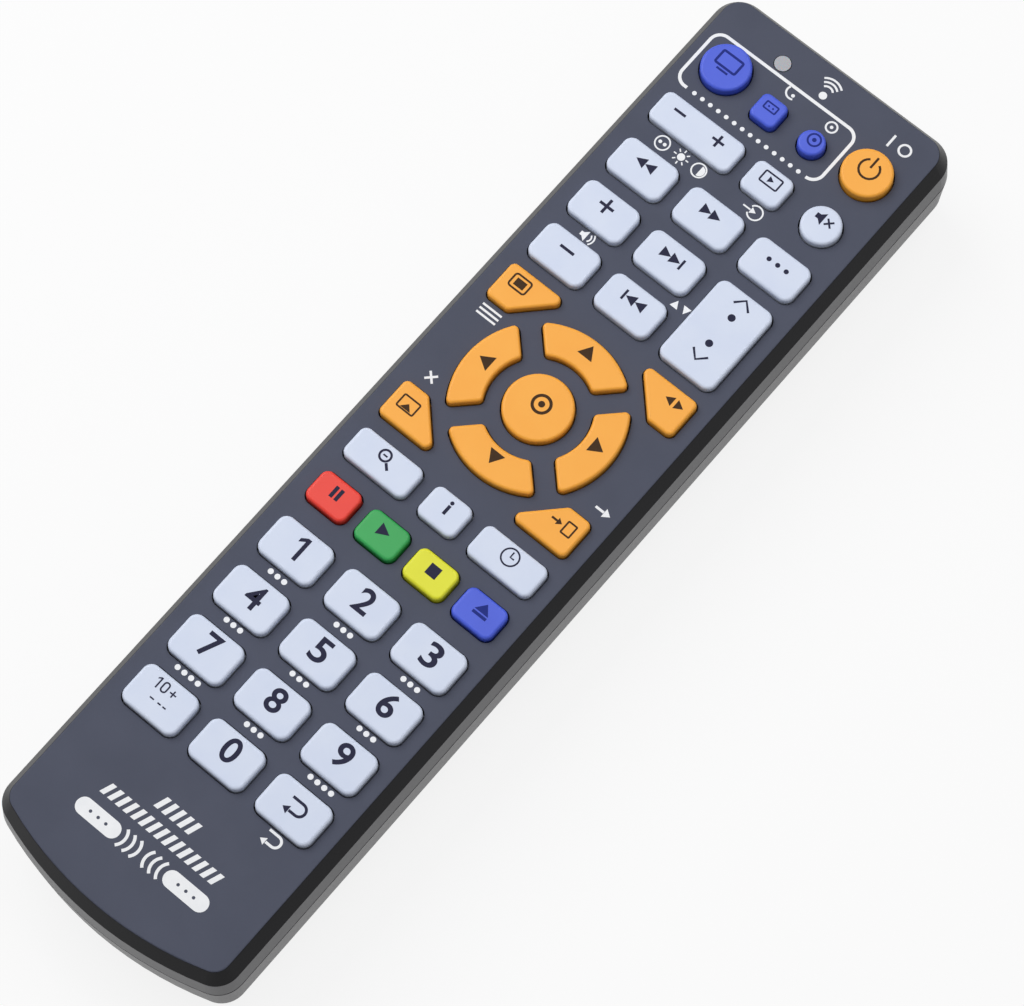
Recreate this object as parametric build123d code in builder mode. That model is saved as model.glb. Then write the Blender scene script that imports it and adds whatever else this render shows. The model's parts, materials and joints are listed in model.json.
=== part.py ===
from build123d import *
import math
import os

os.makedirs("parts", exist_ok=True)

# Universal remote control, lying on its back with the keys up, in millimetres.
# +X is the user's right, +Y points to the infrared end and +Z is up.
# The origin is on the table, under the middle of the case.

# Case outline, at the parting line where it is widest
case_length = 200.0
case_width = 51.6
head_corner = 5.6
tail_corner = 5.2
tail_radius = 70.0

# Heights of the case, counted from the crest of the back that lies on the table
hump_height = 6.4
upper_wall_height = 4.5
bevel_height = 3.3
parting_groove = 0.4

# How far each band of the case leans in from the parting line
lower_draft = 0.45
upper_draft = 0.4
bevel_width = 1.7
ledge_round = 0.8
face_round = 0.35

# Walls
wall = 1.8
face_plate = 2.0
floor_plate = 1.8
lip_clearance = 0.15
lip_thickness = 1.1
lip_rise = 1.5
lip_root = 1.6

# Rounded back of the lower case
ledge_width = 5.3
crest_land = 6.0
hump_end_inset = 5.2
hump_end_slope_share = 0.56
hump_corner = 3.4

# Clearances
key_clearance = 0.3
part_clearance = 0.3
lamp_hole_clearance = 0.15
door_end_clearance = 0.5
overrun = 1.0

# Keys: heights and edges
key_proud = 1.3
tall_key_proud = 1.7
key_travel = 1.0
key_top_round = 0.55
flange_width = 0.7
flange_thickness = 0.9
pill_thickness = 0.3
pill_radius = 1.5
rocker_ear_length = 3.0

# Keypad mat and circuit board
mat_thickness = 1.1
board_thickness = 1.6
sheet_inset = 3.4

# Key rows, counted from the middle of the ring of arrow keys, as shares of the case length
ring_from_head_share = 0.425
number_drop_share = 0.2295
number_pitch_share = 0.057
colour_drop_share = 0.1725
option_drop_share = 0.1225
block_rise_share = 0.123
block_pitch_share = 0.053
small_rise_share = 0.287
device_rise_share = 0.342
large_rise_share = 0.3505
indicator_rise_share = 0.388
small_key_length_share = 0.033
colour_key_length_share = 0.032

# Key columns and the widths of keys, as shares of the case width
column_pitch_share = 0.2858
colour_pitch_share = 0.2093
option_offset_share = 0.2674
level_rocker_offset_share = 0.2326
source_key_offset_share = 0.0717
side_round_offset_share = 0.3062
device_key_offset_share = 0.093
indicator_offset_share = 0.1744
level_rocker_width_share = 0.345
source_key_width_share = 0.157
option_key_width_share = 0.2655
centre_option_width_share = 0.157
colour_key_width_share = 0.1667

# Key lengths and widths, as shares of the pitch of their rows and columns
number_key_length_share = 0.72
block_key_length_share = 0.7264
wide_key_width_share = 0.8

# Ring, corner keys and round keys, as shares of the key module
module_share = 0.1735
ok_diameter_share = 0.854
ring_inner_share = 0.651
ring_outer_share = 1.071
ring_gap_share = 0.278
corner_key_side_share = 1.403
corner_key_near_share = 0.549
corner_key_far_share = 1.064
corner_key_top_share = 1.227
corner_key_foot_share = 0.698
mute_diameter_share = 0.505
power_diameter_share = 0.637
main_device_diameter_share = 0.627
square_device_size_share = 0.366
round_device_diameter_share = 0.342

# Corners of the keys in plan
wide_key_corner = 1.8
small_key_corner = 1.5
square_device_corner = 1.2
arrow_corner = 0.9
corner_key_round = 1.1

# Indicator light
indicator_radius = 1.5
indicator_flange = 0.8
indicator_proud = 0.1
indicator_chip = 1.0
guide_flange_thickness = 0.8

# Battery door and bay
door_side_margin = 2.55
door_end_margin = 6.5
cradle_setback = 2.6
door_tail_from_tail = 27.0
door_corner = 2.5
bay_wall = 1.2
bay_ceiling = 1.1
bay_pocket = 3.2
tongue_width = 5.0
tongue_spacing = 18.0
tongue_length = 2.8
tongue_thickness = 1.0
tongue_root = 1.0
notch_width = 14.5
notch_length = 4.3
catch_width = 6.0
catch_thickness = 1.0
catch_height = 8.5
catch_reach = 3.6
catch_tab_low = 0.8
catch_tab_thickness = 1.4
catch_setback = 1.1
nose_height = 3.0
nose_length = 1.5
nose_reach = 0.9

# Thumb scoop beyond the door, and the finger notch near the head
scoop_radius = 7.5
scoop_depth = 3.2
scoop_offset = 3.1
notch_deep_from_head = 40.0
notch_ramp = 8.0
notch_back = 2.8
notch_depth = 1.55

# Feet on the back
foot_length = 7.4
foot_width = 3.2
foot_spacing = 22.4
foot_from_head = 13.0
foot_moat = 0.5
foot_seat = 2.1
foot_round = 0.35

# Batteries, size AAA
cell_diameter = 10.5
cell_length = 44.5
cell_nub_diameter = 3.8
cell_nub_length = 1.0
cell_gap = 0.7
cell_round = 0.6
cell_lift = 0.5
cradle_rib = 1.2
cradle_gap = 0.4
contact_thickness = 0.4
contact_width = 9.0
contact_height = 8.0
contact_round = 1.0
contact_fit = 0.1
spring_wire = 0.6
spring_radius = 3.4
spring_turns = 4
spring_length = 5.2

# Board supports
post_radius = 2.4
pin_radius = 1.0
pin_rise = 0.4
post_inset = 8.8
board_gap = 0.8
post_from_head = 8.0
post_from_tail = 17.0

# Emitter and receiver at the head
emitter_radius = 2.5
emitter_length = 8.6
emitter_offset = 6.0
receiver_radius = 1.5
receiver_length = 5.2
receiver_offset = 6.0
lamp_rim = 0.4
lamp_rim_thickness = 1.0
lamp_recess = 0.3
lamp_rise = 4.2
lead_size = 0.5
lead_pitch = 2.54
lead_run = 1.8

# Parts on the underside of the board
chip_width = 7.6
chip_length = 17.9
chip_thickness = 1.1
chip_rise = 20.0
chip_pin_count = 14
chip_pin_pitch = 1.27
chip_pin_width = 0.4
chip_pin_length = 1.4
chip_pin_thickness = 0.2
crystal_width = 10.5
crystal_length = 4.6
crystal_height = 3.5
crystal_offset = 11.0
crystal_rise = 40.0
capacitor_radius = 2.5
capacitor_height = 8.0
capacitor_offset = 11.0
capacitor_rise = 42.0
capacitor_round = 0.4

# Battery bay, worked out from the cells
cell_spacing = cell_diameter + cell_gap
cell_centre_height = wall + cell_lift + cell_diameter / 2
cradle_length = cell_length + spring_length + 2 * contact_thickness + contact_fit
cradle_half = cell_spacing / 2 + cell_diameter / 2 + cradle_gap
bay_ceiling_underside = wall + 2 * cell_lift + cell_diameter + part_clearance
bay_ceiling_top = bay_ceiling_underside + bay_ceiling
door_width = 2 * (cradle_half + cradle_rib + door_side_margin)
door_length = notch_length + cradle_setback + cradle_length + door_end_margin
bay_half_width = door_width / 2 + part_clearance

# Heights, stacked up from the bay to the face
board_underside = bay_ceiling_top + board_gap
board_top = board_underside + board_thickness
pill_underside = board_top + key_travel + part_clearance
key_underside = pill_underside + pill_thickness
flange_top = key_underside + flange_thickness
mat_underside = flange_top + part_clearance
mat_top = mat_underside + mat_thickness
plate_underside = mat_top + part_clearance
face_height = plate_underside + face_plate
bevel_foot_height = face_height - bevel_height
parting_height = bevel_foot_height - upper_wall_height
rim_height = parting_height - parting_groove
ledge_height = hump_height
lamp_height = ledge_height + lamp_rise

# Places along and across the case
half_length = case_length / 2
half_width = case_width / 2
hump_width = case_width - 2 * ledge_width
crest_half = crest_land / 2
flank_run = hump_width / 2 - crest_half
flank_radius = (flank_run**2 + hump_height**2) / (2 * hump_height)
post_offset = half_width - post_inset
door_tail_y = door_tail_from_tail - half_length
door_head_y = door_tail_y + door_length
door_middle_y = (door_tail_y + door_head_y) / 2
opening_tail_y = door_tail_y - door_end_clearance
opening_head_y = door_head_y + door_end_clearance
bay_head_y = opening_head_y + bay_pocket
cradle_tail_y = door_tail_y + notch_length + cradle_setback
cradle_head_y = cradle_tail_y + cradle_length
notch_deep_y = half_length - notch_deep_from_head

# Key rows and columns
ring_from_head = case_length * ring_from_head_share
ring_y = half_length - ring_from_head
number_drop = case_length * number_drop_share
number_pitch = case_length * number_pitch_share
colour_drop = case_length * colour_drop_share
option_drop = case_length * option_drop_share
block_rise = case_length * block_rise_share
block_pitch = case_length * block_pitch_share
small_rise = case_length * small_rise_share
device_rise = case_length * device_rise_share
large_rise = case_length * large_rise_share
indicator_rise = case_length * indicator_rise_share
column_pitch = case_width * column_pitch_share
colour_pitch = case_width * colour_pitch_share
option_offset = case_width * option_offset_share
level_rocker_offset = case_width * level_rocker_offset_share
source_key_offset = case_width * source_key_offset_share
side_round_offset = case_width * side_round_offset_share
device_key_offset = case_width * device_key_offset_share
indicator_offset = case_width * indicator_offset_share

# Key sizes
small_key_length = case_length * small_key_length_share
colour_key_length = case_length * colour_key_length_share
level_rocker_width = case_width * level_rocker_width_share
source_key_width = case_width * source_key_width_share
option_key_width = case_width * option_key_width_share
centre_option_width = case_width * centre_option_width_share
colour_key_width = case_width * colour_key_width_share
number_key_length = number_pitch * number_key_length_share
block_key_length = block_pitch * block_key_length_share
wide_key_width = column_pitch * wide_key_width_share
channel_rocker_length = block_pitch + block_key_length
key_module = min(column_pitch, ring_from_head * module_share)
ok_diameter = key_module * ok_diameter_share
ring_inner_radius = key_module * ring_inner_share
ring_outer_radius = key_module * ring_outer_share
ring_gap = key_module * ring_gap_share
corner_key_side = key_module * corner_key_side_share
corner_key_near = key_module * corner_key_near_share
corner_key_far = key_module * corner_key_far_share
corner_key_top = key_module * corner_key_top_share
corner_key_foot = key_module * corner_key_foot_share
mute_diameter = key_module * mute_diameter_share
power_diameter = key_module * power_diameter_share
main_device_diameter = key_module * main_device_diameter_share
square_device_size = key_module * square_device_size_share
round_device_diameter = key_module * round_device_diameter_share


def case_outline(height, inset):
    """Plan of the case, drawn in from the parting line by an inset, at a height."""
    side = half_width - inset
    bow = tail_radius - inset
    corner_y = -half_length + tail_radius - math.sqrt(bow**2 - side**2)
    head_y = half_length - inset
    with BuildSketch(Plane.XY.offset(height)) as outline:
        with BuildLine():
            ThreePointArc((-side, corner_y), (0, -half_length + inset), (side, corner_y))
            Polyline((side, corner_y), (side, head_y), (-side, head_y), (-side, corner_y))
        make_face()
        fillet(outline.vertices().group_by(Axis.Y)[-1], radius=head_corner - inset)
        fillet(outline.vertices().group_by(Axis.Y)[0], radius=tail_corner - inset)
    return outline.sketch


def hump_plan(height, depth):
    """Plan of the rounded back at a height, with its sloping tail drawn in by a depth."""
    inset = hump_end_inset + (ledge_height - height) * hump_end_slope_share + depth
    side = half_width - inset
    bow = tail_radius - inset
    corner_y = -half_length + tail_radius - math.sqrt(bow**2 - side**2)
    head_y = half_length - lower_draft - depth
    with BuildSketch(Plane.XY.offset(height)) as plan:
        with BuildLine():
            ThreePointArc((-side, corner_y), (0, -half_length + inset), (side, corner_y))
            Polyline((side, corner_y), (side, head_y), (-side, head_y), (-side, corner_y))
        make_face()
        fillet(plan.vertices().group_by(Axis.Y)[0], radius=hump_corner)
    return plan.sketch


def hump_body(depth, top):
    """Solid of the rounded back, its skin thinned by a depth, from the crest up to a height."""
    radius = flank_radius - depth
    shoulder = ledge_height + depth
    shoulder_x = crest_half + math.sqrt(radius**2 - (flank_radius - shoulder) ** 2)
    bend = math.asin((shoulder_x - crest_half) / radius) / 2
    middle_x = crest_half + radius * math.sin(bend)
    middle_z = flank_radius - radius * math.cos(bend)
    with BuildPart() as body:
        loft(sections=[hump_plan(depth, depth), hump_plan(top, depth)])
        with BuildSketch(Plane.XZ) as section:
            with BuildLine():
                Line((-crest_half, depth), (crest_half, depth))
                ThreePointArc((crest_half, depth), (middle_x, middle_z), (shoulder_x, shoulder))
                Polyline(
                    (shoulder_x, shoulder),
                    (shoulder_x, top + overrun),
                    (-shoulder_x, top + overrun),
                    (-shoulder_x, shoulder),
                )
                ThreePointArc((-shoulder_x, shoulder), (-middle_x, middle_z), (-crest_half, depth))
            make_face()
        extrude(amount=case_length, both=True, mode=Mode.INTERSECT)
    return body.part


# Each pad is a kind of outline, its centre, and its width and length.
# The arrow pads give their turn instead of a width, the corner pads their quarter.
pads = {}
for row, names in enumerate((("1", "2", "3"), ("4", "5", "6"), ("7", "8", "9"), ("10_plus", "0", "return"))):
    for column, name in enumerate(names):
        x = (column - 1) * column_pitch
        y = ring_y - number_drop - row * number_pitch
        pads["key_" + name] = ("wide", x, y, wide_key_width, number_key_length)
colours = ("red", "green", "yellow", "blue")
for column, name in enumerate(colours):
    x = (column - (len(colours) - 1) / 2) * colour_pitch
    pads["key_" + name] = ("small", x, ring_y - colour_drop, colour_key_width, colour_key_length)
for side, name in ((-1, "zoom"), (1, "timer")):
    x = side * option_offset
    pads["key_" + name] = ("small", x, ring_y - option_drop, option_key_width, small_key_length)
pads["key_info"] = ("small", 0, ring_y - option_drop, centre_option_width, small_key_length)
for row, names in enumerate((("volume_down", "previous"), ("volume_up", "next"), ("rewind", "forward"))):
    for column, name in enumerate(names):
        x = (column - 1) * column_pitch
        y = ring_y + block_rise + row * block_pitch
        pads["key_" + name] = ("wide", x, y, wide_key_width, block_key_length)
pads["key_system"] = (
    "wide",
    column_pitch,
    ring_y + block_rise + 2 * block_pitch,
    wide_key_width,
    block_key_length,
)
pads["key_channel"] = (
    "wide",
    column_pitch,
    ring_y + block_rise + block_pitch / 2,
    wide_key_width,
    channel_rocker_length,
)
pads["key_level"] = (
    "small",
    -level_rocker_offset,
    ring_y + small_rise,
    level_rocker_width,
    small_key_length,
)
pads["key_source"] = (
    "small",
    source_key_offset,
    ring_y + small_rise,
    source_key_width,
    small_key_length,
)
pads["key_mute"] = ("round", side_round_offset, ring_y + small_rise, mute_diameter, mute_diameter)
pads["key_power"] = ("round", side_round_offset, ring_y + large_rise, power_diameter, power_diameter)
pads["key_television"] = (
    "round",
    -side_round_offset,
    ring_y + large_rise,
    main_device_diameter,
    main_device_diameter,
)
pads["key_receiver"] = (
    "square",
    -device_key_offset,
    ring_y + device_rise,
    square_device_size,
    square_device_size,
)
pads["key_player"] = (
    "round",
    device_key_offset,
    ring_y + device_rise,
    round_device_diameter,
    round_device_diameter,
)
pads["key_ok"] = ("round", 0, ring_y, ok_diameter, ok_diameter)
for turn, name in enumerate(("up", "left", "down", "right")):
    pads["key_" + name] = ("arrow", 0, ring_y, turn * 90, 0)
for name, side, end in (("menu", -1, 1), ("audio", 1, 1), ("picture", -1, -1), ("exit", 1, -1)):
    pads["key_" + name] = ("corner", 0, ring_y, side, end)

corner_radii = {"wide": wide_key_corner, "small": small_key_corner, "square": square_device_corner}
tall_keys = ("key_power", "key_television", "key_receiver", "key_player")


def pad_outline(pad, height, growth=0.0):
    """Outline of one key at a height, grown on every side by a clearance or a flange."""
    kind, x, y, width, length = pad
    with BuildSketch(Plane.XY.offset(height)) as outline:
        with Locations((x, y)):
            if kind == "round":
                Circle(width / 2)
            elif kind == "arrow":
                apex = ring_gap / 2 * math.sqrt(2)
                Circle(ring_outer_radius)
                Circle(ring_inner_radius, mode=Mode.SUBTRACT)
                Polygon(
                    (0, apex),
                    (ring_outer_radius, apex + ring_outer_radius),
                    (-ring_outer_radius, apex + ring_outer_radius),
                    rotation=width,
                    align=None,
                    mode=Mode.INTERSECT,
                )
            elif kind == "corner":
                Polygon(
                    (width * corner_key_side, length * corner_key_top),
                    (width * corner_key_near, length * corner_key_top),
                    (width * corner_key_far, length * corner_key_foot),
                    (width * corner_key_side, length * corner_key_foot),
                    align=None,
                )
            else:
                RectangleRounded(width, length, corner_radii[kind])
        if kind == "arrow":
            fillet(outline.vertices(), radius=arrow_corner)
        if kind == "corner":
            fillet(outline.vertices(), radius=corner_key_round)
        if growth:
            offset(amount=growth)
    return outline.sketch


def contact_places(name, pad):
    """Where the carbon contacts of a key lie under it."""
    kind, x, y, width, length = pad
    if kind == "arrow":
        reach = (ring_inner_radius + ring_outer_radius) / 2
        turn = math.radians(width)
        return [(x - reach * math.sin(turn), y + reach * math.cos(turn))]
    if kind == "corner":
        reach_x = (corner_key_far + corner_key_side) / 2
        reach_y = (corner_key_foot + corner_key_top) / 2
        return [(x + width * reach_x, y + length * reach_y)]
    if name == "key_channel":
        return [(x, y - length / 4), (x, y + length / 4)]
    if name == "key_level":
        return [(x - width / 4, y), (x + width / 4, y)]
    return [(x, y)]


def make_key(name, pad):
    """One silicone key with its retaining flange or rocker ears, and its carbon contacts."""
    kind, x, y, width, length = pad
    proud = tall_key_proud if name in tall_keys else key_proud
    with BuildPart() as key:
        extrude(to_extrude=pad_outline(pad, key_underside), amount=face_height + proud - key_underside)
        fillet(key.edges().group_by(Axis.Z)[-1], radius=key_top_round)
        if name == "key_channel":
            with BuildSketch(Plane.XY.offset(key_underside)):
                with Locations((x, y)):
                    Rectangle(width + 2 * flange_width, rocker_ear_length)
            extrude(amount=flange_thickness)
        elif name == "key_level":
            with BuildSketch(Plane.XY.offset(key_underside)):
                with Locations((x, y)):
                    Rectangle(rocker_ear_length, length + 2 * flange_width)
            extrude(amount=flange_thickness)
        else:
            extrude(to_extrude=pad_outline(pad, key_underside, flange_width), amount=flange_thickness)
    with BuildPart() as pills:
        with BuildSketch(Plane.XY.offset(pill_underside)):
            with Locations(*contact_places(name, pad)):
                Circle(pill_radius)
        extrude(amount=pill_thickness)
    return Compound(label=name, children=[key.part] + list(pills.part.solids()))


keys = {}
for name, pad in pads.items():
    keys[name] = make_key(name, pad)

# Upper case: a flat face with a steep bevel round it, pierced for every key
with BuildPart() as upper_case:
    loft(sections=[case_outline(parting_height, 0), case_outline(bevel_foot_height, upper_draft)])
    loft(
        sections=[
            case_outline(bevel_foot_height, upper_draft),
            case_outline(face_height, upper_draft + bevel_width),
        ]
    )
    fillet(upper_case.faces().sort_by(Axis.Z)[-1].outer_wire().edges(), radius=face_round)
    loft(
        sections=[
            case_outline(parting_height, wall),
            case_outline(bevel_foot_height, upper_draft + wall),
        ],
        mode=Mode.SUBTRACT,
    )
    bevel_share = (plate_underside - bevel_foot_height) / bevel_height
    loft(
        sections=[
            case_outline(bevel_foot_height, upper_draft + wall),
            case_outline(plate_underside, upper_draft + wall + bevel_share * bevel_width),
        ],
        mode=Mode.SUBTRACT,
    )
    for pad in pads.values():
        extrude(
            to_extrude=pad_outline(pad, plate_underside - overrun, key_clearance),
            amount=face_plate + 2 * overrun,
            mode=Mode.SUBTRACT,
        )
    with BuildSketch(Plane.XY.offset(plate_underside - overrun)):
        with Locations((-indicator_offset, ring_y + indicator_rise)):
            Circle(indicator_radius + lamp_hole_clearance)
    extrude(amount=face_plate + 2 * overrun, mode=Mode.SUBTRACT)
upper_case.part.label = "upper_case"

# Battery bay: a well over the door opening, with a ceiling under the board
with BuildPart() as bay_block:
    add(hump_body(wall / 2, bay_ceiling_top))
    with BuildSketch(Plane.XY):
        with Locations((0, (opening_tail_y + bay_head_y) / 2)):
            Rectangle(
                2 * (bay_half_width + bay_wall),
                bay_head_y - opening_tail_y + 2 * bay_wall,
            )
    extrude(amount=bay_ceiling_top, mode=Mode.INTERSECT)

with BuildPart() as bay_space:
    add(hump_body(wall, bay_ceiling_underside))
    with BuildSketch(Plane.XY):
        with Locations((0, (opening_tail_y + bay_head_y) / 2)):
            Rectangle(2 * bay_half_width, bay_head_y - opening_tail_y)
    extrude(amount=bay_ceiling_underside, mode=Mode.INTERSECT)

# Ribs that hang from the ceiling and hold the two cells along and across
with BuildPart() as cradle:
    add(hump_body(wall + 2 * part_clearance, bay_ceiling_underside))
    with BuildSketch(Plane.XY):
        with Locations((0, (cradle_tail_y + cradle_head_y) / 2)):
            Rectangle(2 * (cradle_half + cradle_rib), cradle_length + 2 * cradle_rib)
            Rectangle(2 * cradle_half, cradle_length, mode=Mode.SUBTRACT)
    extrude(amount=bay_ceiling_underside, mode=Mode.INTERSECT)

# Bowl behind the thumb scoop
scoop_ball = (scoop_radius**2 + scoop_depth**2) / (2 * scoop_depth)
scoop_centre = (0, door_tail_y - scoop_offset, scoop_depth - scoop_ball)
with BuildPart() as scoop_wall:
    add(hump_body(wall / 2, ledge_height))
    with Locations(scoop_centre):
        Sphere(scoop_ball + wall, mode=Mode.INTERSECT)

# Pad behind the finger notch
with BuildPart() as notch_wall:
    add(hump_body(wall / 2, ledge_height))
    with BuildSketch(Plane.XY):
        with Locations((0, notch_deep_y + (notch_ramp - notch_back) / 2)):
            Rectangle(hump_width, notch_ramp + notch_back + 2 * wall)
    extrude(amount=notch_depth + wall, mode=Mode.INTERSECT)

foot_places = []
for side in (-1, 1):
    foot_places.append((side * foot_spacing / 2, half_length - foot_from_head))

post_places = []
for side in (-1, 1):
    post_places.append((side * post_offset, half_length - post_from_head))
    post_places.append((side * post_offset, post_from_tail - half_length))

# Lower case: side walls, ledge and rounded back, with the lip that the upper case fits over
with BuildPart() as lower_case:
    loft(
        sections=[
            case_outline(ledge_height + ledge_round, lower_draft),
            case_outline(rim_height, 0),
        ]
    )
    loft(
        sections=[
            case_outline(ledge_height, lower_draft + ledge_round),
            case_outline(ledge_height + ledge_round, lower_draft),
        ]
    )
    add(hump_body(0, ledge_height + floor_plate))
    loft(
        sections=[
            case_outline(ledge_height + floor_plate, lower_draft + wall),
            case_outline(rim_height, wall),
        ],
        mode=Mode.SUBTRACT,
    )
    add(hump_body(wall, ledge_height + floor_plate), mode=Mode.SUBTRACT)
    extrude(
        to_extrude=case_outline(rim_height - lip_root, wall - lip_clearance),
        amount=lip_root,
    )
    extrude(
        to_extrude=case_outline(rim_height, wall + lip_clearance),
        amount=parting_groove + lip_rise,
    )
    extrude(
        to_extrude=case_outline(rim_height - lip_root, wall + lip_clearance + lip_thickness),
        amount=lip_root + parting_groove + lip_rise + overrun,
        mode=Mode.SUBTRACT,
    )
    add(scoop_wall.part)
    add(notch_wall.part)
    add(bay_block.part)
    add(bay_space.part, mode=Mode.SUBTRACT)
    with BuildSketch(Plane.XY.offset(-overrun)):
        with Locations((0, (opening_tail_y + opening_head_y) / 2)):
            RectangleRounded(2 * bay_half_width, opening_head_y - opening_tail_y, door_corner)
    extrude(amount=overrun + ledge_height, mode=Mode.SUBTRACT)
    add(cradle.part)
    with Locations(scoop_centre):
        Sphere(scoop_ball, mode=Mode.SUBTRACT)
    # Finger notch: a plane ramp down to a steep back
    with BuildSketch(Plane.YZ):
        Polygon(
            (notch_deep_y + notch_ramp, 0),
            (notch_deep_y, notch_depth),
            (notch_deep_y - notch_back, 0),
            (notch_deep_y - notch_back, -overrun),
            (notch_deep_y + notch_ramp, -overrun),
            align=None,
        )
    extrude(amount=hump_width / 2, both=True, mode=Mode.SUBTRACT)
    # Pockets for the feet
    with BuildSketch(Plane.XY.offset(-overrun)):
        with Locations(*foot_places):
            SlotOverall(foot_length + 2 * foot_moat, foot_width + 2 * foot_moat, rotation=90)
    extrude(amount=overrun + foot_seat, mode=Mode.SUBTRACT)
    # Posts and pins under the board
    with BuildSketch(Plane.XY.offset(ledge_height + floor_plate / 2)):
        with Locations(*post_places):
            Circle(post_radius)
    extrude(amount=board_underside - ledge_height - floor_plate / 2)
    with BuildSketch(Plane.XY.offset(board_underside)):
        with Locations(*post_places):
            Circle(pin_radius)
    extrude(amount=board_thickness + pin_rise)
    # Windows in the head wall
    with BuildSketch(Plane.XZ.offset(-half_length - overrun)):
        with Locations((emitter_offset, lamp_height)):
            Circle(emitter_radius + lamp_hole_clearance)
        with Locations((-receiver_offset, lamp_height)):
            Circle(receiver_radius + lamp_hole_clearance)
    extrude(amount=wall + 2 * overrun, mode=Mode.SUBTRACT)
lower_case.part.label = "lower_case"

# Battery door: a piece of the rounded back, hooked under the case at its head
tongue_x = tongue_spacing / 2
tongue_places = []
root_places = []
for side in (-1, 1):
    root_places.append((side * tongue_x, door_head_y - tongue_root / 2))
    tongue_places.append((side * tongue_x, door_head_y + (tongue_length - tongue_root) / 2))
tongue_flank = tongue_x + tongue_width / 2 - crest_half
skin_outside = flank_radius - math.sqrt(flank_radius**2 - tongue_flank**2)
skin_inside = flank_radius - math.sqrt((flank_radius - wall) ** 2 - tongue_flank**2)
root_low = skin_outside + part_clearance
tongue_low = skin_inside + part_clearance
notch_head_y = door_tail_y + notch_length
bridge_underside = catch_height + part_clearance
catch_face_y = door_tail_y + catch_setback
with BuildPart() as battery_door:
    add(hump_body(0, ledge_height))
    add(hump_body(wall, ledge_height + floor_plate), mode=Mode.SUBTRACT)
    with BuildSketch(Plane.XY.offset(-overrun)):
        with Locations((0, door_middle_y)):
            RectangleRounded(door_width, door_length, door_corner - part_clearance)
    extrude(amount=ledge_height + 2 * overrun, mode=Mode.INTERSECT)
    with BuildSketch(Plane.XY.offset(-overrun)):
        with Locations((0, door_tail_y + notch_length / 2)):
            Rectangle(notch_width, notch_length)
    extrude(amount=ledge_height + 2 * overrun, mode=Mode.SUBTRACT)
    # Tongues: a root on the door and a finger under the edge of the case
    with BuildSketch(Plane.XY.offset(root_low)):
        with Locations(*root_places):
            Rectangle(tongue_width, tongue_root)
    extrude(amount=tongue_low + tongue_thickness - root_low)
    with BuildSketch(Plane.XY.offset(tongue_low)):
        with Locations(*tongue_places):
            Rectangle(tongue_width, tongue_length + tongue_root)
    extrude(amount=tongue_thickness)
    # Fixed leg and bridge of the springy catch
    with BuildSketch(Plane.YZ):
        with BuildLine():
            Polyline(
                (notch_head_y, wall / 2),
                (notch_head_y + catch_thickness, wall / 2),
                (notch_head_y + catch_thickness, bridge_underside + catch_thickness),
                (catch_face_y, bridge_underside + catch_thickness),
                (catch_face_y, bridge_underside),
                (notch_head_y, bridge_underside),
                close=True,
            )
        make_face()
    extrude(amount=catch_width / 2, both=True)
battery_door.part.label = "battery_door"

# Catch: a springy leg with a thumb tab over the scoop and a nose behind the case edge
leg_head_y = catch_face_y + catch_thickness
with BuildPart() as door_catch:
    with BuildSketch(Plane.YZ):
        with BuildLine():
            Polyline(
                (leg_head_y, catch_height),
                (catch_face_y, catch_height),
                (catch_face_y, nose_height + nose_length),
                (catch_face_y - nose_reach, nose_height),
                (catch_face_y, nose_height),
                (catch_face_y, catch_tab_low + catch_tab_thickness),
                (door_tail_y - catch_reach, catch_tab_low + catch_tab_thickness),
                (door_tail_y - catch_reach, catch_tab_low),
                (leg_head_y, catch_tab_low),
                close=True,
            )
        make_face()
    extrude(amount=catch_width / 2, both=True)
door_catch.part.label = "door_catch"

# Two oval feet, seated in pockets of the back
with BuildPart() as rear_feet:
    with BuildSketch(Plane.XY):
        with Locations(*foot_places):
            SlotOverall(foot_length, foot_width, rotation=90)
    extrude(amount=foot_seat)
    fillet(rear_feet.edges().group_by(Axis.Z)[0], radius=foot_round)
rear_feet.part.label = "rear_feet"

# Silicone mat round the keys, with windows for the keys, the pins and the light guide
with BuildPart() as keypad_mat:
    extrude(to_extrude=case_outline(mat_underside, sheet_inset), amount=mat_thickness)
    for pad in pads.values():
        extrude(
            to_extrude=pad_outline(pad, mat_underside, key_clearance),
            amount=mat_thickness,
            mode=Mode.SUBTRACT,
        )
    with BuildSketch(Plane.XY.offset(mat_underside)):
        with Locations((-indicator_offset, ring_y + indicator_rise)):
            Circle(indicator_radius + indicator_flange + part_clearance)
    extrude(amount=mat_thickness, mode=Mode.SUBTRACT)
keypad_mat.part.label = "keypad_mat"

# Circuit board, dropped over the pins of the lower case
with BuildPart() as circuit_board:
    extrude(to_extrude=case_outline(board_underside, sheet_inset), amount=board_thickness)
    with BuildSketch(Plane.XY.offset(board_underside)):
        with Locations(*post_places):
            Circle(pin_radius + part_clearance)
    extrude(amount=board_thickness, mode=Mode.SUBTRACT)
circuit_board.part.label = "circuit_board"

# Indicator: a light guide with a flange under the face, over a small lamp on the board
guide_x = -indicator_offset
guide_y = ring_y + indicator_rise
guide_foot = board_top + indicator_chip + part_clearance
with BuildPart() as light_guide:
    with BuildSketch(Plane.XY.offset(guide_foot)):
        with Locations((guide_x, guide_y)):
            Circle(indicator_radius)
    extrude(amount=face_height + indicator_proud - guide_foot)
    with BuildSketch(Plane.XY.offset(mat_top - guide_flange_thickness)):
        with Locations((guide_x, guide_y)):
            Circle(indicator_radius + indicator_flange)
    extrude(amount=guide_flange_thickness)
with BuildPart() as guide_lamp:
    with BuildSketch(Plane.XY.offset(board_top)):
        with Locations((guide_x, guide_y)):
            Rectangle(2 * indicator_radius, indicator_radius)
    extrude(amount=indicator_chip)
indicator_light = Compound(label="indicator_light", children=[light_guide.part, guide_lamp.part])


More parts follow.
